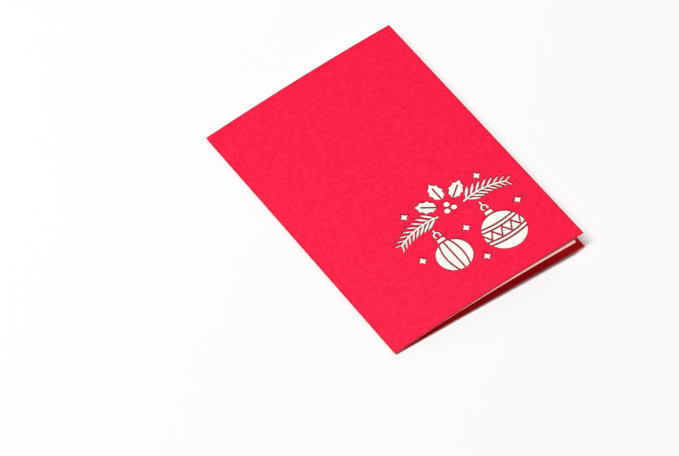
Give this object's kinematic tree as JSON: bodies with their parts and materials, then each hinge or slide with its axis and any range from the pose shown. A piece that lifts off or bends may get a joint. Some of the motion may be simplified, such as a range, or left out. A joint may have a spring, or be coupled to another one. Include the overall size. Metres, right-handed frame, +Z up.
{
  "type": "greeting card",
  "caption": "Folded portrait greeting card of red card stock lying on its back cover, its front cover sprung slightly open, with a holiday stencil cut through it over a cream paper leaf.",
  "frame": {"origin": "middle of the back cover's underside, on the table", "axes": "+X from the fold to the fore edge, +Y from the lower end to the upper end, +Z up from the table"},
  "size_m": [0.1069, 0.1518, 0.0087],
  "materials": {
    "red_card": "matt dyed card stock with a fine grain",
    "cream_paper": "smooth uncoated paper"
  },
  "bodies": {
    "root": {"cover": "red_card", "leaf": "cream_paper"}
  },
  "joints": []
}
